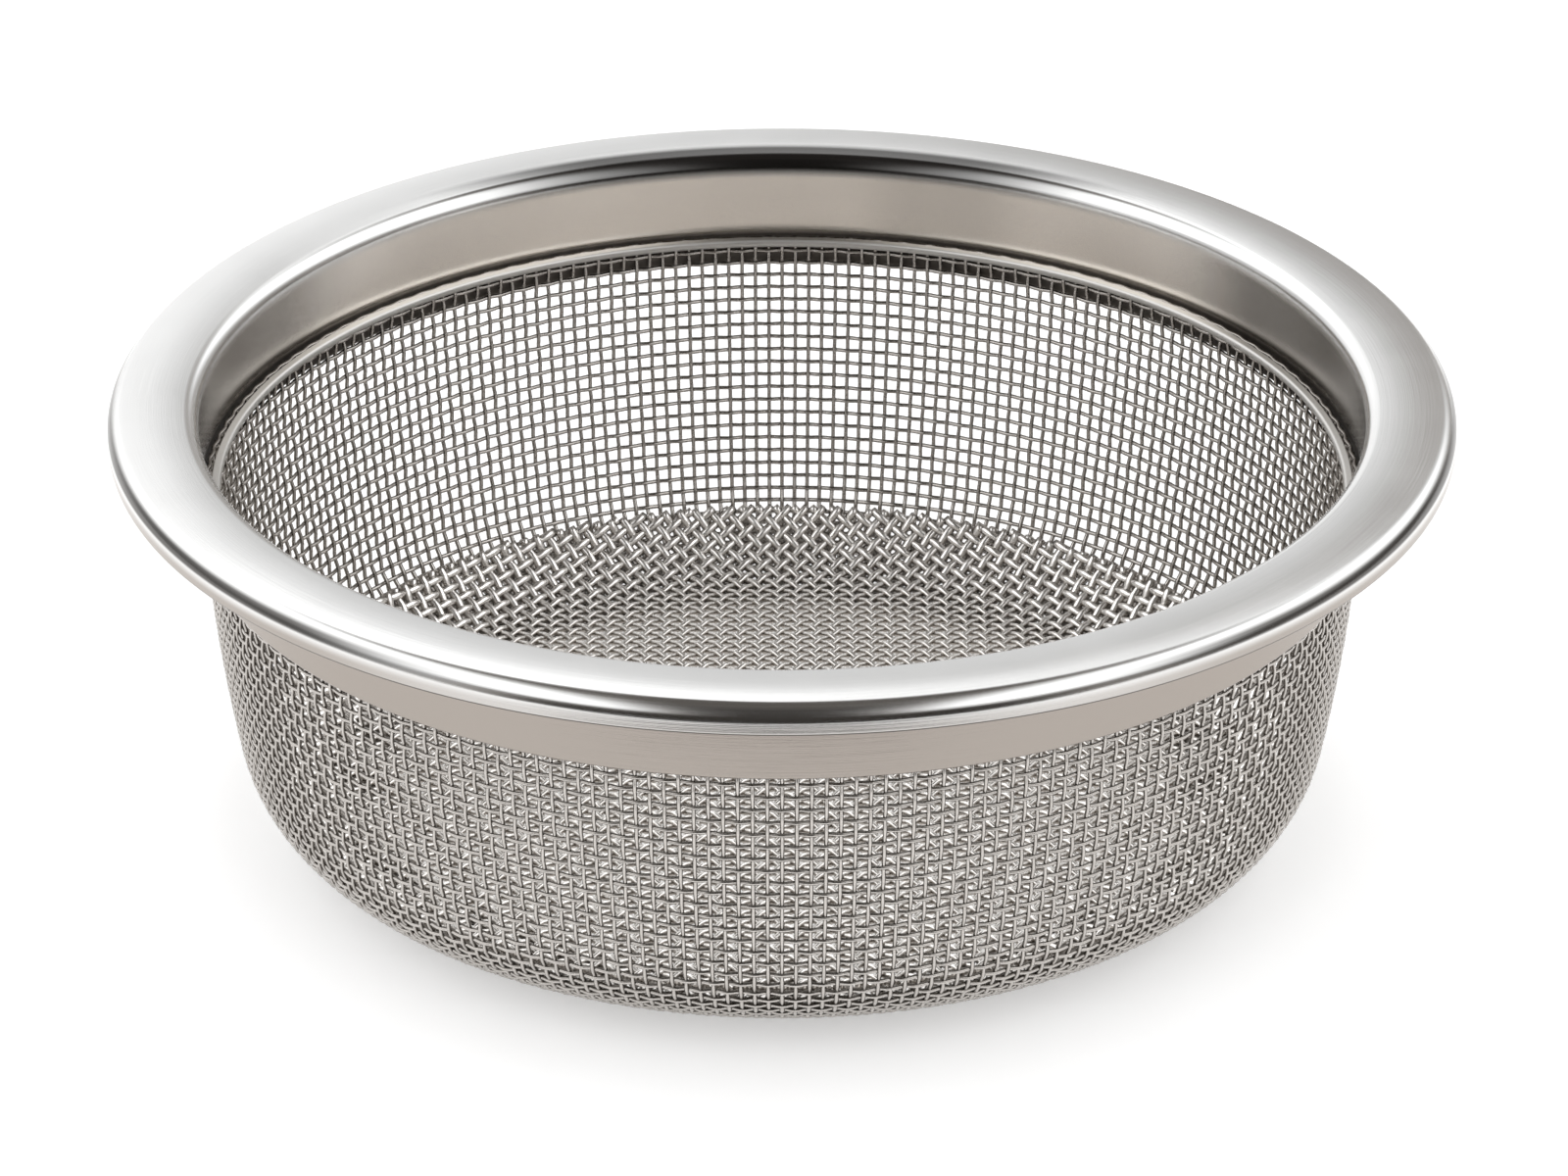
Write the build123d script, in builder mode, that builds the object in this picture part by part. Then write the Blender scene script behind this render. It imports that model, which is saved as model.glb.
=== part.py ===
from build123d import *
from math import atan2, cos, degrees, radians, sin
import os

# Basket sieve in stainless steel, in millimetres.
# The origin is on the ground under the basket's axis, and +Z points up.

# Overall
height = 58.5           # ground to the crown of the flange
outside_radius = 86.7   # outer face of the flange's lip
bore_radius = 75.0      # inside of the collar, nominal 150 mm bore

# Rim: one pressed and rolled ring, with flange, lip and collar
sheet = 0.8
rim_flats = 2           # straight runs in each of the rim's two bends
corner_radius = 2.1     # flange turning down into the collar
roll_radius = 2.2       # flange rolling over into the lip
lip_height = 4.1        # flange crown to the lip's lower edge
flange_camber = 6.5     # degrees of slope at each edge of the crowned flange
collar_depth = 15.8     # flange crown to the collar's lower edge

# Cloth: plain woven, one strand over the other
wire = 0.63
cloth = 2 * wire
strand_width = 4.0      # one strand of the model stands for a band of wires
strand_sink = 0.06      # strands press into each other where they cross
uprights = 40           # an even number, as neighbours pass a hoop on opposite sides
upper_hoop = 0.46       # share of the way down the leaning wall
lower_hoop = 0.93
floor_strands = 11      # across the floor, each way

# Clamp ring: holds the top of the cloth against the collar from inside
ring_height = 1.1
ring_width = 1.2
ring_chamfer = 0.4
ring_setback = 3.3      # the collar reaches this far below the ring
cloth_above_ring = 0.3
clamp_gap = 0.04        # all round, at each face of the clamped cloth

# Basket shape
mouth_lean = 4.0        # degrees from upright, just below the collar
mouth_radius = 20.0     # the cloth's bend where it leaves the collar
heel_lean = 11.0        # degrees from upright, where the wall meets the heel
heel_radius = 16.0
heel_flats = 4          # straight runs in the heel's bend
hem_width = 3.0         # wall cloth turned in flat under the floor
floor_flats = 2         # runs of the heel that the floor's edge follows
floor_gap = 0.05        # floor cloth resting on the hem

# Heights of the clamp, from the flange down
collar_bottom = height - collar_depth
ring_bottom = collar_bottom + ring_setback
ring_top = ring_bottom + ring_height
cloth_top = ring_top + cloth_above_ring

# Radii of the clamp, from the collar inwards
cloth_radius = bore_radius - clamp_gap
ring_radius = cloth_radius - cloth - clamp_gap

# The wall leans in along one long arc and then turns under on the heel's arc
lean_sine = sin(radians(heel_lean)) - sin(radians(mouth_lean))
lean_cosine = cos(radians(mouth_lean)) - cos(radians(heel_lean))
heel_top = heel_radius * (1 - sin(radians(heel_lean)))
mouth_drop = mouth_radius * sin(radians(mouth_lean))
mouth_shift = mouth_radius * (1 - cos(radians(mouth_lean)))
wall_arc_radius = (collar_bottom - mouth_drop - heel_top) / lean_sine
heel_top_radius = cloth_radius - mouth_shift - wall_arc_radius * lean_cosine
heel_centre_radius = heel_top_radius - heel_radius * cos(radians(heel_lean))

os.makedirs("parts", exist_ok=True)


def bend(start, heading, radius, turn, flats):
    """Straight runs between points on an arc; the arc is returned, so that what follows is tangent to it."""
    arc = JernArc(start, heading, radius, turn, mode=Mode.PRIVATE)
    Polyline(*[arc @ (k / flats) for k in range(flats + 1)])
    return arc


# Rim: the crowned flange meets the corner and the roll on their tangents
camber_sine = sin(radians(flange_camber))
camber_cosine = cos(radians(flange_camber))
flange_inner_edge = bore_radius + corner_radius * (1 - camber_sine)
flange_outer_edge = outside_radius - roll_radius * (1 - camber_sine)
flange_arc_radius = (flange_outer_edge - flange_inner_edge) / 2 / camber_sine
flange_edge_height = height - flange_arc_radius * (1 - camber_cosine)
collar_top = flange_edge_height - corner_radius * camber_cosine


def rim_profile(inset):
    """Run of the rim from the collar's lower edge to the lip's, at a depth below the sheet's upper face."""
    collar = Line((bore_radius + inset, collar_bottom), (bore_radius + inset, collar_top))
    corner = bend(collar @ 1, collar % 1, corner_radius - inset, flange_camber - 90, rim_flats)
    flange = bend(corner @ 1, corner % 1, flange_arc_radius - inset, -2 * flange_camber, 2)
    roll = bend(flange @ 1, flange % 1, roll_radius - inset, flange_camber - 90, rim_flats)
    lip = Line(roll @ 1, (outside_radius - inset, height - lip_height))
    return collar @ 0, lip @ 1


with BuildPart() as rim:
    with BuildSketch(Plane.XZ) as rim_section:
        with BuildLine():
            upper_collar, upper_lip = rim_profile(0)
            lower_collar, lower_lip = rim_profile(sheet)
            Line(upper_collar, lower_collar)
            Line(upper_lip, lower_lip)
        make_face()
    revolve(axis=Axis.Z)
rim.part.label = "rim"
export_step(rim.part, "parts/rim.step")

# Clamp ring
with BuildPart() as clamp_ring:
    with BuildSketch(Plane.XZ) as ring_section:
        with Locations((ring_radius - ring_width / 2, (ring_bottom + ring_top) / 2)):
            Rectangle(ring_width, ring_height)
        chamfer(ring_section.vertices().group_by(Axis.X)[0].sort_by(Axis.Y)[-1], ring_chamfer)
    revolve(axis=Axis.Z)
clamp_ring.part.label = "clamp_ring"
export_step(clamp_ring.part, "parts/clamp_ring.step")


# Wall cloth: a sleeve gripped by the ring and a hem under the floor, with the weave between
middle = cloth / 2
sleeve_radius = cloth_radius - middle
throw = (wire - strand_sink) / 2
mouth_arc = JernArc((sleeve_radius, collar_bottom), (0, -1), mouth_radius - middle, -mouth_lean)
wall_arc = JernArc(mouth_arc @ 1, mouth_arc % 1, wall_arc_radius - middle, mouth_lean - heel_lean)
heel_arc = JernArc(wall_arc @ 1, wall_arc % 1, heel_radius - middle, heel_lean - 90)


def thrown(arc, place, distance):
    """A point of the cloth's middle, moved outwards."""
    along = arc % place
    return arc @ place + Vector(-along.Y, along.X) * distance


def upright_face(side, level):
    """Points down one face of an upright, which passes the upper hoop on the side given."""
    points = [Vector(sleeve_radius + level, ring_bottom + wire), thrown(mouth_arc, 0, level)]
    points.append(thrown(wall_arc, upper_hoop, level + side * throw))
    points.append(thrown(wall_arc, lower_hoop, level - side * throw))
    points += [thrown(heel_arc, run / heel_flats, level) for run in range(heel_flats + 1)]
    points.append(points[-1] - Vector(wire, 0))
    return points


def hoop_corners(radius, side):
    """Corners of a hoop's upper edge, which passes the first upright on the side given."""
    throws = [side * throw, -side * throw] * (uprights // 2)
    step = 360 / uprights
    return [Vector(radius + out, 0).rotate(Axis.Z, step * k) for k, out in enumerate(throws)]


with BuildPart() as wall_mesh:
    with BuildSketch(Plane.XY.offset(ring_bottom)) as sleeve_section:
        RegularPolygon(cloth_radius, uprights)
        RegularPolygon(ring_radius + clamp_gap, uprights, major_radius=False, mode=Mode.SUBTRACT)
    extrude(amount=cloth_top - ring_bottom)
    with BuildSketch() as hem_section:
        RegularPolygon(heel_centre_radius, uprights)
        RegularPolygon(heel_centre_radius - hem_width, uprights, mode=Mode.SUBTRACT)
    extrude(amount=cloth)
    for side, turn in ((1, 0), (-1, 360 / uprights)):
        with BuildPart(mode=Mode.PRIVATE) as upright:
            with BuildSketch(Plane.XZ) as upright_section:
                with BuildLine():
                    outer_face = upright_face(side, wire / 2)
                    inner_face = upright_face(side, -wire / 2)
                    Polyline(*outer_face, *reversed(inner_face), close=True)
                make_face()
            extrude(amount=strand_width / 2, both=True)
        with PolarLocations(0, uprights // 2, start_angle=turn):
            add(upright.part)
    for side, place in ((-1, upper_hoop), (1, lower_hoop)):
        lean = -atan2((wall_arc % place).X, -(wall_arc % place).Y)
        hoop_edge = wall_arc @ place - (wall_arc % place) * strand_width / 2
        downwards = Plane((0, 0, hoop_edge.Y), x_dir=(1, 0, 0), z_dir=(0, 0, -1))
        with BuildPart(mode=Mode.PRIVATE) as hoop:
            for level, mode in ((wire / 2, Mode.ADD), (-wire / 2, Mode.SUBTRACT)):
                with BuildSketch(downwards) as hoop_section:
                    with BuildLine():
                        Polyline(*hoop_corners(hoop_edge.X + level, side), close=True)
                    make_face()
                extrude(amount=strand_width * cos(lean), taper=degrees(lean), mode=mode)
        add(hoop.part)
wall_mesh.part.label = "wall_mesh"
export_step(wall_mesh.part, "parts/wall_mesh.step")

# Floor cloth: a shallow dish inside the heel, flat towards each upright, with its weave across it
floor_bottom = cloth + floor_gap
floor_top = floor_bottom + cloth
floor_edge_radius = heel_radius - floor_bottom
floor_upturn = (90 - heel_lean) * floor_flats / heel_flats
weave_radius = heel_centre_radius - hem_width
strand_depth = middle + strand_sink / 2
floor_pitch = 2 * weave_radius / floor_strands


def floor_edge(inset):
    """Corners of the floor's turned-up edge, from its foot, at a depth below the underside."""
    edge = JernArc((heel_centre_radius, floor_bottom + inset), (1, 0), floor_edge_radius - inset, floor_upturn)
    return [edge @ (run / floor_flats) for run in range(floor_flats + 1)]


under_edge = floor_edge(0)
upper_edge = floor_edge(cloth)
with BuildPart() as floor_mesh:
    for corners, mode in ((under_edge + upper_edge[-1:], Mode.ADD), (upper_edge, Mode.SUBTRACT)):
        for frustum in zip(corners, corners[1:]):
            for corner in frustum:
                with BuildSketch(Plane.XY.offset(corner.Y)):
                    RegularPolygon(corner.X, uprights, major_radius=False, rotation=180 / uprights)
            loft(ruled=True, mode=mode)
    with BuildSketch(Plane.XY.offset(floor_bottom)) as weave_section:
        RegularPolygon(weave_radius, uprights, major_radius=False, rotation=180 / uprights)
    extrude(amount=cloth, mode=Mode.SUBTRACT)
    for turn, level in ((45, floor_bottom), (-45, floor_top - strand_depth)):
        with BuildSketch(Plane.XY.offset(level).rotated((0, 0, turn))) as floor_weave:
            with GridLocations(floor_pitch, 0, floor_strands, 1):
                Rectangle(strand_width, 2 * heel_centre_radius)
            Circle(heel_centre_radius - hem_width / 2, mode=Mode.INTERSECT)
        extrude(amount=strand_depth)
floor_mesh.part.label = "floor_mesh"
export_step(floor_mesh.part, "parts/floor_mesh.step")
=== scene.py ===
from math import atan, cos, pi, radians, sin, sqrt

import bpy
import numpy as np
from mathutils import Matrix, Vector


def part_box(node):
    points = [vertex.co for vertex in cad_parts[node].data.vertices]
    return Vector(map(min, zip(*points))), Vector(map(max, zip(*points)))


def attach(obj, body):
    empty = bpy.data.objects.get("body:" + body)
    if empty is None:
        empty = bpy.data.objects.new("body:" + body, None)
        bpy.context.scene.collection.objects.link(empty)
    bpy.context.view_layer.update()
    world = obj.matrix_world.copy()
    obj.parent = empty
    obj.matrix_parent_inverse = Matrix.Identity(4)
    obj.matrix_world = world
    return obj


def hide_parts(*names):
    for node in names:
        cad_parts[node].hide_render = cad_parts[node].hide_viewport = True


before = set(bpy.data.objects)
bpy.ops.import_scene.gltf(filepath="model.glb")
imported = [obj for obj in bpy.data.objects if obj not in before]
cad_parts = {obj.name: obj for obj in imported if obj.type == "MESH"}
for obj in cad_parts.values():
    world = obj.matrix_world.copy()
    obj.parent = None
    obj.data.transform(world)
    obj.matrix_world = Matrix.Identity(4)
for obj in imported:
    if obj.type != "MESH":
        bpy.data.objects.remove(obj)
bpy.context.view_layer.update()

MM = 0.001

# ---------------------------------------------------------------- sizes
# The frame gives the heights; the rest repeats the sieve's own drawing.
rim_low, rim_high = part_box("rim")
ring_low, ring_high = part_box("clamp_ring")
floor_low, floor_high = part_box("floor_mesh")

height = rim_high.z
outside_radius = 86.7 * MM
bore_radius = 75.0 * MM
collar_bottom = rim_low.z
sheet = 0.8 * MM
corner_radius = 2.1 * MM
roll_radius = 2.2 * MM
lip_height = 4.1 * MM
flange_camber = radians(6.5)

# The flange is a shallow arch; both its bends start at the arch's slope.
camber_sine, camber_cosine = sin(flange_camber), cos(flange_camber)
flange_inner_edge = bore_radius + corner_radius * (1 - camber_sine)
flange_outer_edge = outside_radius - roll_radius * (1 - camber_sine)
flange_arc_radius = (flange_outer_edge - flange_inner_edge) / 2 / camber_sine
flange_edge_height = height - flange_arc_radius * (1 - camber_cosine)
collar_top = flange_edge_height - corner_radius * camber_cosine
lip_top = flange_edge_height - roll_radius * camber_cosine
lip_bottom = height - lip_height

wire = 0.63 * MM
clamp_gap = 0.04 * MM
ring_width = 1.2 * MM
ring_bottom = ring_low.z
ring_top = ring_high.z
ring_outside = bore_radius - 2 * clamp_gap - 2 * wire
ring_round = 0.45 * MM
ring_back_round = 0.15 * MM

cloth_top = ring_top - 0.4 * MM      # the wires end down in the clamp
cloth_radius = bore_radius - clamp_gap - wire      # middle of the cloth
mouth_lean = radians(4.0)
mouth_radius = 20.0 * MM
heel_lean = radians(11.0)
heel_radius = 16.0 * MM
hem_width = 3.0 * MM
floor_upturn = radians(60.0)
floor_middle = floor_low.z + wire
floor_edge_radius = heel_radius - floor_low.z - wire

UPRIGHTS = 256
WALL_WIRE_SIDES = 5
FLOOR_WIRE_SIDES = 6
STEPS_PER_PITCH = 3
TURNS = 320             # steps round the rim and the ring
ROW_START = 0.04        # first level wire, in pitches from the cloth's top edge
pitch = 1.81 * MM
wall_wire = 0.56 * MM
wall_crimp = 0.13 * MM
floor_wire = 0.86 * MM
floor_crimp = wire - floor_wire / 2

# In the heel the cloth is gathered: its rows close up and its wires look thicker.
wall_gather_turn = radians(35)
wall_row_closing = 0.25
wall_thickening = 0.2
floor_gather_turn = radians(30)
floor_thickening = 0.50

# A hand-formed cloth drifts a little, but not where it is held.
drift_round = 0.02 * MM
drift_down = 0.02 * MM
drift_out = 0.04 * MM
held_below_collar = 6 * MM
held_above_hem = 8 * MM


# ---------------------------------------------------------------- meshes
def new_piece(name, material, points, faces, normals=None):
    """One visible piece of the sieve as a smooth mesh that rides on the body."""
    mesh = bpy.data.meshes.new(name)
    mesh.from_pydata(points, [], faces)
    mesh.polygons.foreach_set("use_smooth", np.ones(len(mesh.polygons), bool))
    mesh.materials.append(material)
    mesh.update()
    if normals is not None:
        mesh.normals_split_custom_set_from_vertices(normals)
    piece = bpy.data.objects.new(name, mesh)
    bpy.context.scene.collection.objects.link(piece)
    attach(piece, "root")
    return piece


def lathe(section, section_normals, turns):
    """Turns a closed section, given as radius and height, about the upright axis."""
    angle = np.linspace(0, 2 * pi, turns, endpoint=False)
    around = np.stack([np.cos(angle), np.sin(angle)], 1)
    points = np.concatenate([
        section[None, :, :1] * around[:, None, :],
        np.broadcast_to(section[None, :, 1:], (turns, len(section), 1))], 2)
    normals = np.concatenate([
        section_normals[None, :, :1] * around[:, None, :],
        np.broadcast_to(section_normals[None, :, 1:], (turns, len(section), 1))], 2)
    faces = []
    count = len(section)
    for turn in range(turns):
        here, there = turn * count, (turn + 1) % turns * count
        for k in range(count):
            after = (k + 1) % count
            faces.append((here + k, here + after, there + after, there + k))
    return points.reshape(-1, 3), faces, normals.reshape(-1, 3)


class Outline:
    """A path in the radius and height plane, as points with their left-hand normals."""

    def __init__(self, start, heading):
        self.points = [np.array(start, float)]
        self.headings = [heading]

    def straight(self, length, steps=1):
        direction = np.array([cos(self.headings[-1]), sin(self.headings[-1])])
        start = self.points[-1]
        for k in range(1, steps + 1):
            self.points.append(start + direction * length * k / steps)
            self.headings.append(self.headings[-1])
        return self

    def bend(self, radius, turn, steps):
        """An arc; a positive turn goes to the left."""
        side = 1 if turn > 0 else -1
        heading = self.headings[-1]
        centre = self.points[-1] + side * radius * np.array([-sin(heading), cos(heading)])
        for k in range(1, steps + 1):
            h = heading + turn * k / steps
            self.points.append(centre - side * radius * np.array([-sin(h), cos(h)]))
            self.headings.append(h)
        return self

    def left_normals(self):
        return np.array([[-sin(h), cos(h)] for h in self.headings])


def sheet_section(outline, thickness, cap_steps=6):
    """Closed section of a sheet to the right of an outline, with rounded cut edges."""
    left = outline.left_normals()
    face = np.array(outline.points)
    back = face - left * thickness
    middle = face - left * thickness / 2
    points, normals = list(face), list(left)
    for end, begin, order in ((-1, 0, 1), (0, 1, 1)):
        heading = outline.headings[end]
        forward = np.array([cos(heading), sin(heading)]) * (1 if end == -1 else -1)
        side = left[end] if end == -1 else -left[end]
        for k in range(1, cap_steps):
            a = pi * k / cap_steps
            n = cos(a) * side + sin(a) * forward
            points.append(middle[end] + n * thickness / 2)
            normals.append(n)
        if end == -1:
            points.extend(back[::-1])
            normals.extend(-left[::-1])
    return np.array(points), np.array(normals)


def tubes(runs, sides, closed):
    """Round wires along runs of points, each with the cloth's normal and the wire's radius there."""
    ring = np.linspace(0, 2 * pi, sides, endpoint=False)
    points, faces, total = [], [], 0
    for run, normal, radius in runs:
        if closed:
            along = np.roll(run, -1, 0) - np.roll(run, 1, 0)
        else:
            along = np.gradient(run, axis=0)
        along /= np.linalg.norm(along, axis=1)[:, None]
        across = np.cross(along, normal)
        across /= np.linalg.norm(across, axis=1)[:, None]
        up = np.cross(across, along)
        around = np.cos(ring)[None, :, None] * up[:, None] + np.sin(ring)[None, :, None] * across[:, None]
        tube = run[:, None] + around * radius[:, None, None]
        count = len(run)
        k = np.arange(count if closed else count - 1)[:, None]
        s = np.arange(sides)[None, :]
        k_next, s_next = (k + 1) % count, (s + 1) % sides
        quads = np.stack([k * sides + s, k * sides + s_next,
                          k_next * sides + s_next, k_next * sides + s], 2)
        faces.extend((quads.reshape(-1, 4) + total).tolist())
        if not closed:
            faces.append(list(range(total + sides - 1, total - 1, -1)))
            faces.append(list(range(total + (count - 1) * sides, total + count * sides)))
        points.append(tube.reshape(-1, 3))
        total += count * sides
    return np.concatenate(points), faces


# ---------------------------------------------------------------- cloth
def unevenness(angle, depth):
    """Small slow drifts of a hand-formed cloth: round the basket, down it and out of its face."""
    turn = drift_round * (np.sin(7 * angle + 0.6) * np.sin(depth * 110 + 1.1)
                          + 0.7 * np.sin(19 * angle + 2.1) * np.sin(depth * 230 + 0.3))
    drop = drift_down * (np.sin(5 * angle + 1.9) * np.sin(depth * 90)
                         + 0.6 * np.sin(13 * angle + 0.2) * np.sin(depth * 190 + 2.0))
    bulge = drift_out * np.sin(4 * angle + 0.9) * np.sin(depth * 75)
    return turn, drop, bulge


class WallCloth:
    """The middle surface of the wall cloth, by depth along it from its top edge."""

    def __init__(self):
        heel_arc = heel_radius - wire
        mouth_arc = mouth_radius - wire
        heel_top = heel_radius - heel_radius * sin(heel_lean)
        mouth_drop = mouth_radius * sin(mouth_lean)
        lean_sine = sin(heel_lean) - sin(mouth_lean)
        wall_arc = (collar_bottom - mouth_drop - heel_top) / lean_sine - wire
        lengths = [cloth_top - collar_bottom, mouth_arc * mouth_lean,
                   wall_arc * (heel_lean - mouth_lean), heel_arc * (pi / 2 - heel_lean), hem_width]
        leans = [0, mouth_lean, heel_lean, pi / 2, pi / 2]
        self.length = sum(lengths)
        self.depths = np.linspace(0, self.length, 6000)
        self.leans = np.interp(self.depths, np.cumsum([0] + lengths), [0] + leans)
        step = self.depths[1]
        middle = (self.leans[1:] + self.leans[:-1]) / 2
        self.radii = cloth_radius - np.concatenate([[0], np.cumsum(np.sin(middle) * step)])
        self.heights = cloth_top - np.concatenate([[0], np.cumsum(np.cos(middle) * step)])
        self.gather = np.clip((self.leans - heel_lean) / wall_gather_turn, 0, 1)
        row_step = step / (pitch * (1 - wall_row_closing * self.gather[1:]))
        self.rows = np.concatenate([[0], np.cumsum(row_step)])
        self.still_until = lengths[0]
        self.still_from = self.length - hem_width

    def depth_of_row(self, row):
        """Depth of a level wire; they lie closer together where the cloth is gathered in the heel."""
        return np.interp(row, self.rows, self.depths)

    def place(self, angle, depth, proud):
        """Points and outward normals; proud is how far the wire stands out of the middle."""
        gather = np.interp(depth, self.depths, self.gather)
        free = np.clip((depth - self.still_until) / held_below_collar, 0, 1)
        free = free * np.clip((self.still_from - depth) / held_above_hem, 0, 1)
        turn, drop, bulge = unevenness(angle, depth)
        depth = depth + drop * free
        radius = np.interp(depth, self.depths, self.radii)
        lean = np.interp(depth, self.depths, self.leans)
        level = np.interp(depth, self.depths, self.heights)
        angle = angle + turn * free / radius
        proud = proud + bulge * free
        out = np.stack([np.cos(lean) * np.cos(angle), np.cos(lean) * np.sin(angle), -np.sin(lean)], 1)
        middle = np.stack([radius * np.cos(angle), radius * np.sin(angle), level], 1)
        return middle + out * proud[:, None], out, wall_wire / 2 * (1 + wall_thickening * gather)


def wall_uprights(cloth, first):
    """Every other upright wire, from the given one on."""
    row = np.arange(int(cloth.rows[-1] * STEPS_PER_PITCH) + 1) / STEPS_PER_PITCH
    depth = cloth.depth_of_row(row)
    runs = []
    for k in range(first, UPRIGHTS, 2):
        angle = np.full(len(depth), 2 * pi * k / UPRIGHTS)
        proud = wall_crimp * np.cos(pi * (row - ROW_START + k))
        runs.append(cloth.place(angle, depth, proud))
    return runs


def wall_hoops(cloth, first):
    """Every other level wire, from the given one on."""
    angle = np.linspace(0, 2 * pi, UPRIGHTS * STEPS_PER_PITCH, endpoint=False)
    rows = int(cloth.rows[-1] - ROW_START)
    runs = []
    for row in range(first, rows + 1, 2):
        depth = np.full(len(angle), cloth.depth_of_row(row + ROW_START))
        proud = -wall_crimp * np.cos(angle * UPRIGHTS / 2 + pi * row)
        runs.append(cloth.place(angle, depth, proud))
    return runs


def floor_place(along, across, proud, heading):
    """Maps a flat disc of cloth onto the floor's dish."""
    x = along * cos(heading) - across * sin(heading)
    y = along * sin(heading) + across * cos(heading)
    flat = np.hypot(x, y)
    x, y = x / np.maximum(flat, 1e-9), y / np.maximum(flat, 1e-9)
    rise = np.clip((flat - heel_centre_radius) / floor_edge_radius, 0, None)
    radius = np.minimum(flat, heel_centre_radius) + floor_edge_radius * np.sin(rise)
    level = floor_middle + floor_edge_radius * (1 - np.cos(rise))
    normal = np.stack([-np.sin(rise) * x, -np.sin(rise) * y, np.cos(rise)], 1)
    middle = np.stack([x * radius, y * radius, level], 1)
    thickness = floor_wire / 2 * (1 + floor_thickening * np.clip(rise / floor_gather_turn, 0, 1))
    return middle + normal * proud[:, None], normal, thickness


def floor_wires(cut_radius, heading, sign):
    """One of the floor's two sets of wires, clipped to the cut disc."""
    runs = []
    reach = int(cut_radius / pitch)
    for k in range(-reach, reach + 1):
        across = k * pitch
        half = sqrt(cut_radius ** 2 - across ** 2)
        steps = int(2 * half / pitch * STEPS_PER_PITCH)
        if steps < STEPS_PER_PITCH:      # a stub shorter than one crossing
            continue
        along = np.linspace(-half, half, steps + 1)
        proud = sign * floor_crimp * np.cos(pi * (along / pitch + k))
        runs.append(floor_place(along, np.full(len(along), across), proud, heading))
    return runs


# ---------------------------------------------------------------- shading
class Value:
    """A number in a node tree. Arithmetic on it adds Math nodes."""

    def __init__(self, nodes, socket):
        self.nodes, self.socket = nodes, socket

    def output(self, name):
        """Another output of the same node."""
        return Value(self.nodes, self.socket.node.outputs[name])

    def maths(self, operation, *terms):
        values = {k: term for k, term in enumerate(terms)}
        return self.nodes.add("ShaderNodeMath", {"operation": operation}, values)

    def __add__(self, other):
        return self.maths("ADD", self, other)

    def __sub__(self, other):
        return self.maths("SUBTRACT", self, other)

    def __rsub__(self, other):
        return self.maths("SUBTRACT", other, self)

    def __mul__(self, other):
        return self.maths("MULTIPLY", self, other)

    def __truediv__(self, other):
        return self.maths("DIVIDE", self, other)

    def __pow__(self, other):
        return self.maths("POWER", self, other)

    def __neg__(self):
        return self * -1

    __radd__, __rmul__ = __add__, __mul__

    def clamp(self):
        return self.maths("MINIMUM", self.maths("MAXIMUM", self, 0.0), 1.0)

    def larger(self, other):
        return self.maths("MAXIMUM", self, other)

    def rise(self, low, high):
        """0 below low, 1 above high and smooth between."""
        return self.nodes.add("ShaderNodeMapRange", {"interpolation_type": "SMOOTHSTEP"},
                              {"Value": self, "From Min": low, "From Max": high})


class Nodes:
    """The node tree of one material or of the world."""

    def __init__(self, tree):
        self.tree = tree
        tree.nodes.clear()

    def add(self, kind, settings=None, values=None, output=0):
        node = self.tree.nodes.new(kind)
        for name, setting in (settings or {}).items():
            setattr(node, name, setting)
        for name, value in (values or {}).items():
            if isinstance(value, Value):
                self.tree.links.new(value.socket, node.inputs[name])
            else:
                node.inputs[name].default_value = value
        if node.outputs:
            return Value(self, node.outputs[output])

    def blend(self, factor, low, high):
        """Mixes two colours."""
        return self.add("ShaderNodeMix", {"data_type": "RGBA"},
                        {"Factor": factor, 6: low, 7: high}, 2)


def new_material(name):
    material = bpy.data.materials.new(name)
    material.use_nodes = True
    return material, Nodes(material.node_tree)


def find_place(nodes):
    """The point on the surface: as a vector, as x, y and z, and its distance from the axis."""
    place = nodes.add("ShaderNodeTexCoord", output=3)
    x = nodes.add("ShaderNodeSeparateXYZ", {}, {"Vector": place})
    y, z = x.output("Y"), x.output("Z")
    return place, x, y, z, (x * x + y * y) ** 0.5


def finish_metal(nodes, color, roughness, normal):
    """Bare metal with the given colour, roughness and relief."""
    shader = nodes.add("ShaderNodeBsdfPrincipled", {}, {
        "Base Color": color, "Metallic": 1.0, "Roughness": roughness, "Normal": normal})
    nodes.add("ShaderNodeOutputMaterial", {}, {"Surface": shader})


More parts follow.
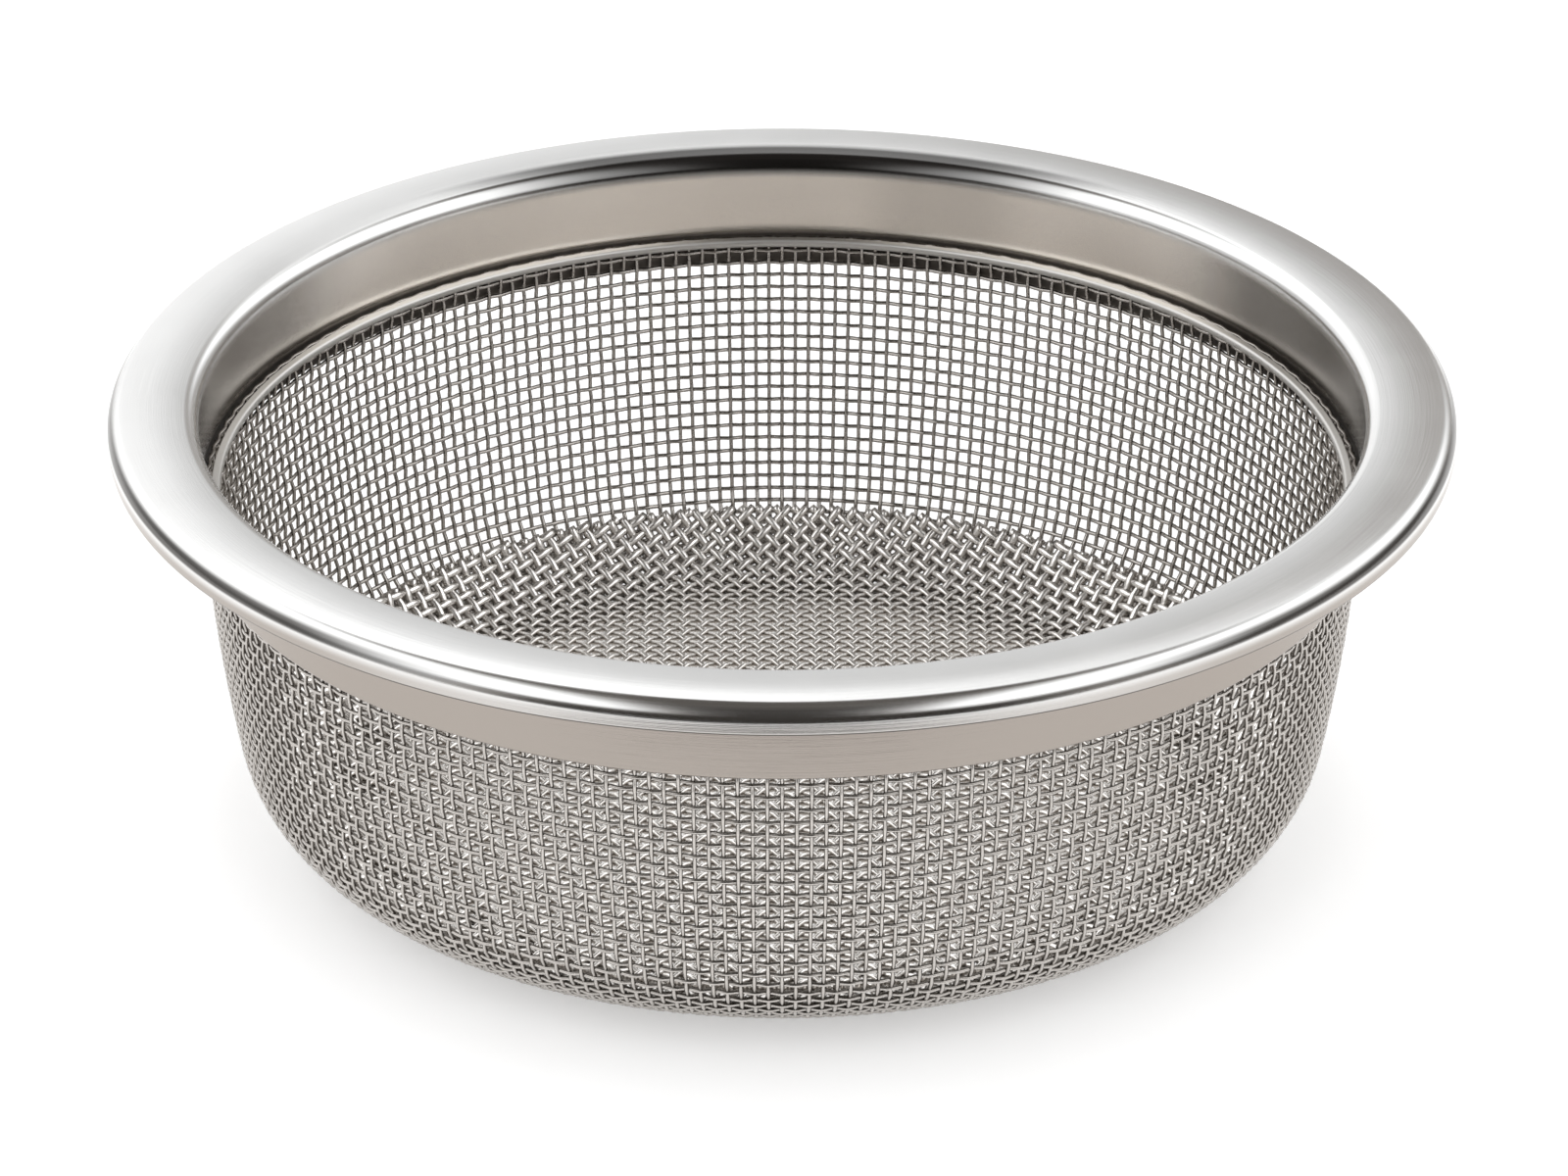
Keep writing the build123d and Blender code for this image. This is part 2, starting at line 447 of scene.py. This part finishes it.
def collar_painted_light_and_shade(nodes, color, x, y, z, radius):
    """Painted reflections and shade below the flange: a darker collar outside and lip, a lighter inner face with
    dark zones, a dark band on the roll, a dark line along the lip's lower edge and a dark inner bend at the back.
    """
    inside = 1 - radius.rise(bore_radius + 0.2 * MM, bore_radius + 0.5 * MM)
    below = 1 - z.rise(lip_bottom + 0.8 * MM, lip_bottom + 2.4 * MM)
    sideways = (x * x / outside_radius ** 2).rise(0.10, 0.50)

    # Painted reflection: the collar outside and the lip are blended towards a dark warm grey, the lip less at front
    # and back than at the sides.
    lip = radius.rise(outside_radius - 3.0 * MM, outside_radius - 2.0 * MM)
    outer_painted_reflection = below * (1 - inside) * (0.97 - lip * (0.45 - sideways * 0.38))
    color = nodes.blend(outer_painted_reflection, color, (0.32, 0.285, 0.255, 1))

    # Painted reflection: a near-black band round the roll, towards the left and right sides.
    roll = z.rise(lip_top + 0.2 * MM, lip_top + 0.6 * MM) * (1 - z.rise(lip_top + 1.3 * MM, lip_top + 1.9 * MM))
    roll = roll * radius.rise(outside_radius - 2.2 * MM, outside_radius - 1.6 * MM)
    color = nodes.blend(roll * sideways * 0.9, color, (0.05, 0.045, 0.04, 1))

    # Painted reflections on the collar's inner face: a pale warm lift all round, then dark zones at the left, the
    # right and just right of the back, fading out towards the front.
    side = x.maths("ARCTAN2", x, y)      # 0 at the back, growing to the right
    painted_darkness = (-side).rise(0.80, 1.10) * 0.55 + side.rise(0.72, 1.00) * 0.72
    painted_darkness = painted_darkness + side.rise(0.10, 0.25) * (1 - side.rise(0.35, 0.50)) * 0.22
    painted_darkness = painted_darkness * (1 - side.maths("ABSOLUTE", side).rise(1.8, 2.6))
    color = nodes.blend(below * inside, color, (1.0, 0.94, 0.87, 1))
    color = nodes.blend(below * inside * painted_darkness, color, (0.02, 0.017, 0.014, 1))

    # Painted shade: a dark line along the lip's lower edge.
    lip_edge_shade = 1 - z.rise(lip_bottom + 0.22 * MM, lip_bottom + 0.36 * MM)
    lip_edge_shade = lip_edge_shade * radius.rise(outside_radius - 1.2 * MM, outside_radius - 1.0 * MM)
    color = nodes.blend(lip_edge_shade * 0.95, color, (0.05, 0.042, 0.035, 1))

    # Painted shade: the inner bend between collar and flange is darkened, at the back only.
    bend = (1 - radius.rise(bore_radius + 3.0 * MM, bore_radius + 4.4 * MM)) * (1 - below)
    bend = bend * y.rise(60 * MM, 74 * MM)
    return nodes.blend(bend * 0.88, color, (0.02, 0.018, 0.016, 1))


def satin_steel(name, tint, shade, roughness, grain, clamp_shadow_strength, collar):
    """Sheet steel with a fine grain that runs round the axis; painted shadow and a rougher finish where the cloth
    is clamped.
    """
    material, nodes = new_material(name)
    place, x, y, z, radius = find_place(nodes)
    angle = y.maths("ARCTAN2", y, x)
    rings = nodes.add("ShaderNodeCombineXYZ", {}, {
        "X": radius * GRAIN_LINES, "Y": angle * GRAIN_BREAKS, "Z": z * GRAIN_LINES})
    lines = nodes.add("ShaderNodeTexNoise", {}, {"Vector": rings, "Scale": 1.0, "Detail": 3.0})
    slow = nodes.add("ShaderNodeTexNoise", {}, {"Vector": place, "Scale": 60.0, "Detail": 2.0})
    color = nodes.blend(slow * 0.6 + lines * 0.4, shade, tint)
    if collar:
        # The rim alone takes the painted reflections and shade below its flange.
        color = collar_painted_light_and_shade(nodes, color, x, y, z, radius)
    # Painted shadow in the clamp, on the collar's inner face below the ring's top; the same mask also raises the
    # roughness there.
    clamp_shadow_and_roughness = 1 - z.rise(ring_top - 0.2 * MM, ring_top + 0.6 * MM)
    clamp_shadow_and_roughness = clamp_shadow_and_roughness * (1 - radius.rise(bore_radius, bore_radius + 0.3 * MM))
    color = nodes.blend(clamp_shadow_and_roughness * clamp_shadow_strength, color, (0.05, 0.042, 0.035, 1))
    rough = roughness + (lines - 0.5) * 0.10 + (slow - 0.5) * 0.06 + clamp_shadow_and_roughness * 0.3
    bump = nodes.add("ShaderNodeBump", {}, {"Strength": grain, "Distance": 0.02 * MM, "Height": lines})
    finish_metal(nodes, color, rough, bump)
    return material


def drawn_wire(name, tint, shade, painted_darkness, roughness):
    """Drawn wire: uneven in tone, with painted shade down its sides; the crest, in line with the cloth's face,
    keeps the wire's tone.
    """
    material, nodes = new_material(name)
    place, x, y, _, radius = find_place(nodes)
    # Painted shade: where the wire's surface turns across the cloth it is blended towards the painted dark colour.
    upright = ((radius - heel_centre_radius) / floor_edge_radius).clamp()
    facing = nodes.add("ShaderNodeNewGeometry", output=1)
    across = nodes.add("ShaderNodeSeparateXYZ", {}, {"Vector": facing})
    outwards = (across * x + across.output("Y") * y) / radius
    unshaded_crest = across.output("Z") * (1 - upright * upright) ** 0.5 - outwards * upright
    unshaded_crest = unshaded_crest.maths("ABSOLUTE", unshaded_crest).rise(0.35, 0.95)
    fine = nodes.add("ShaderNodeTexNoise", {}, {"Vector": place, "Scale": 900.0, "Detail": 2.0})
    slow = nodes.add("ShaderNodeTexNoise", {}, {"Vector": place, "Scale": 45.0, "Detail": 2.0})
    color = nodes.blend(unshaded_crest, painted_darkness, nodes.blend(fine * 0.5 + slow * 0.5, shade, tint))
    rough = roughness + (fine - 0.5) * 0.16
    bump = nodes.add("ShaderNodeBump", {}, {"Strength": 0.25, "Distance": 0.04 * MM, "Height": fine})
    finish_metal(nodes, color, rough, bump)
    return material


GRAIN_LINES = 9000      # across the grain, in waves a metre
GRAIN_BREAKS = 3        # along the grain, in waves a radian

rim_steel = satin_steel("satin rim steel", (0.84, 0.84, 0.835, 1), (0.68, 0.68, 0.675, 1),
                        roughness=0.20, grain=0.45, clamp_shadow_strength=0.9, collar=True)
ring_steel = satin_steel("polished ring steel", (0.66, 0.65, 0.63, 1), (0.52, 0.51, 0.49, 1),
                         roughness=0.12, grain=0.10, clamp_shadow_strength=0.0, collar=False)

# ---------------------------------------------------------------- rim
edge_round = sheet / 2
rim_outline = Outline((bore_radius, collar_bottom + edge_round), pi / 2)
rim_outline.straight(collar_top - collar_bottom - edge_round, 4)
rim_outline.bend(corner_radius, flange_camber - pi / 2, 14)
rim_outline.bend(flange_arc_radius, -2 * flange_camber, 8)
rim_outline.bend(roll_radius, flange_camber - pi / 2, 14)
rim_outline.straight(lip_top - lip_bottom - edge_round, 2)
section, section_normals = sheet_section(rim_outline, sheet)
points, faces, normals = lathe(section, section_normals, TURNS)
rim = new_piece("rim_sheet", rim_steel, points, faces, normals)
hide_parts("rim")

# ---------------------------------------------------------------- clamp ring
ring_outline = Outline((ring_outside, ring_bottom + ring_back_round), pi / 2)
ring_outline.straight(ring_top - ring_bottom - 2 * ring_back_round, 1)
ring_outline.bend(ring_back_round, pi / 2, 3)
ring_outline.straight(ring_width - ring_round - ring_back_round, 1)
ring_outline.bend(ring_round, pi / 2, 10)
ring_outline.straight(ring_top - ring_bottom - 2 * ring_round, 1)
ring_outline.bend(ring_round, pi / 2, 10)
ring_outline.straight(ring_width - ring_round - ring_back_round, 1)
ring_outline.bend(ring_back_round, pi / 2, 3)
section = np.array(ring_outline.points[:-1])[::-1]
section_normals = -ring_outline.left_normals()[:-1][::-1]
points, faces, normals = lathe(section, section_normals, TURNS)
ring = new_piece("clamp_hoop", ring_steel, points, faces, normals)
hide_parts("clamp_ring")

# ---------------------------------------------------------------- cloth pieces
cloth = WallCloth()
heel_centre_radius = cloth.radii[-1] + hem_width
# Painted light and shade in the wire tones: the floor wire is pushed to near white, lighter than steel; the wall
# wire's darker tone is partly the wire's own darker finish and partly painted shade.
wall_steel = drawn_wire("wall wire steel", (0.62, 0.59, 0.56, 1), (0.46, 0.435, 0.41, 1),
                        painted_darkness=(0.15, 0.135, 0.12, 1), roughness=0.27)
floor_steel = drawn_wire("floor wire steel", (1.0, 0.98, 0.96, 1), (0.90, 0.88, 0.85, 1),
                         painted_darkness=(0.36, 0.33, 0.30, 1), roughness=0.28)
for part in (0, 1):
    points, faces = tubes(wall_uprights(cloth, part), WALL_WIRE_SIDES, False)
    uprights = new_piece("wall_uprights_" + "ab"[part], wall_steel, points, faces)
    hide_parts("wall_mesh")
    points, faces = tubes(wall_hoops(cloth, part), WALL_WIRE_SIDES, True)
    hoops = new_piece("wall_hoops_" + "ab"[part], wall_steel, points, faces)
    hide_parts("wall_mesh")

floor_cut_radius = heel_centre_radius + floor_edge_radius * floor_upturn
for part, (heading, sign) in enumerate(((pi / 4, 1), (3 * pi / 4, -1))):
    points, faces = tubes(floor_wires(floor_cut_radius, heading, sign), FLOOR_WIRE_SIDES, False)
    wires = new_piece("floor_wires_" + "ab"[part], floor_steel, points, faces)
    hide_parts("floor_mesh")

# ---------------------------------------------------------------- studio
TABLE_HALF = 6.0
TABLE_FRONT = 0.19      # the table ends here in front of the sieve, so the metal sees a dark room past it
TABLE_GLOW = 0.42       # to the camera
MIRRORED_GLOW = 0.60    # in the metal
ROOM_WARMTH = (1.0, 0.88, 0.77, 1)
WHITE = (1, 1, 1, 1)


def table():
    """A white table top, wide enough to fill every view."""
    half, front = TABLE_HALF, -TABLE_FRONT
    mesh = bpy.data.meshes.new("table")
    corners = [(-half, front, 0), (half, front, 0), (half, half, 0), (-half, half, 0)]
    mesh.from_pydata(corners, [], [(0, 1, 2, 3)])
    top = bpy.data.objects.new("table", mesh)
    bpy.context.scene.collection.objects.link(top)
    material, nodes = new_material("white table")
    path = nodes.add("ShaderNodeLightPath")
    mirrored = path.output("Is Glossy Ray").larger(path.output("Is Transmission Ray"))
    shader = nodes.add("ShaderNodeBsdfPrincipled", {}, {
        "Base Color": (0.80, 0.80, 0.80, 1), "Roughness": 0.9, "Specular IOR Level": 0.0,
        "Emission Color": WHITE, "Emission Strength": path * TABLE_GLOW + mirrored * MIRRORED_GLOW})
    nodes.add("ShaderNodeOutputMaterial", {}, {"Surface": shader})
    mesh.materials.append(material)


def studio_world():
    """White to the camera. The metal sees a warm dark room in front, a soft ceiling above and pale walls behind."""
    world = bpy.data.worlds.new("studio")
    bpy.context.scene.world = world
    world.use_nodes = True
    nodes = Nodes(world.node_tree)
    place = nodes.add("ShaderNodeTexCoord")
    x = nodes.add("ShaderNodeSeparateXYZ", {}, {"Vector": place})
    y, z = x.output("Y"), x.output("Z")
    arch = z.maths("ARCTAN2", z, -y)        # 0 at the front horizon, a half turn at the back one

    wall = arch.rise(radians(125), radians(140))
    strip = wall * (1 - arch.rise(radians(142), radians(149)))
    ceiling = arch.rise(radians(60), radians(90)) * (1 - wall)
    left, right = (-x).rise(0.60, 0.90), x.rise(0.60, 0.90)
    high = z.rise(0.15, 0.45) * (x * x).rise(0.04, 0.20)
    light = ceiling * 0.06 + wall * (1.12 - x.rise(-0.15, 0.15) * 0.72)
    light = light + strip * (0.9 - x.rise(0.20, 0.50) * 0.8)
    light = light * (1 - left) * (1 - right) + left * 0.60 + right * 0.30
    light = light * (1 - high) + high * 1.65

    color = nodes.blend((light * 1.5).clamp(), ROOM_WARMTH, WHITE)
    path = nodes.add("ShaderNodeLightPath")
    color = nodes.blend(path, color, WHITE)
    strength = path + (1 - path) * (light + 0.035)
    shader = nodes.add("ShaderNodeBackground", {}, {"Color": color, "Strength": strength})
    nodes.add("ShaderNodeOutputWorld", {}, {"Surface": shader})


def softbox(name, place, aim, width, depth, power):
    """A soft lamp that lights the sieve but isn't mirrored in it."""
    light = bpy.data.lights.new(name, "AREA")
    light.shape = "RECTANGLE"
    light.size, light.size_y = width, depth
    light.energy = power
    lamp = bpy.data.objects.new(name, light)
    lamp.location = place
    lamp.rotation_euler = (Vector(aim) - Vector(place)).to_track_quat("-Z", "Y").to_euler()
    lamp.visible_glossy = False
    bpy.context.scene.collection.objects.link(lamp)


table()
studio_world()
softbox("overhead", (-0.1, -0.10, 1.4), (0, 0, 0), 1.6, 1.2, 2.5)

# ---------------------------------------------------------------- camera
IMAGE_WIDTH, IMAGE_HEIGHT = 1600, 1200
view_elevation = radians(25.78)
camera_distance = 1.169
focal_pixels = 9259
lip_centre_pixel = (797.85, 432.2)

toward = Vector((0, -cos(view_elevation), sin(view_elevation)))
eye = Vector((0, 0, lip_bottom)) + toward * camera_distance
drop = atan((IMAGE_HEIGHT / 2 - lip_centre_pixel[1]) / focal_pixels)
slide = atan((IMAGE_WIDTH / 2 - lip_centre_pixel[0]) / focal_pixels)
camera_data = bpy.data.cameras.new("camera")
camera_data.sensor_width = 36
camera_data.lens = focal_pixels / IMAGE_WIDTH * camera_data.sensor_width
camera = bpy.data.objects.new("camera", camera_data)
camera.location = eye
camera.rotation_euler = (pi / 2 - view_elevation - drop, 0, -slide)
bpy.context.scene.collection.objects.link(camera)
bpy.context.scene.camera = camera
bpy.context.scene.view_settings.view_transform = "Standard"
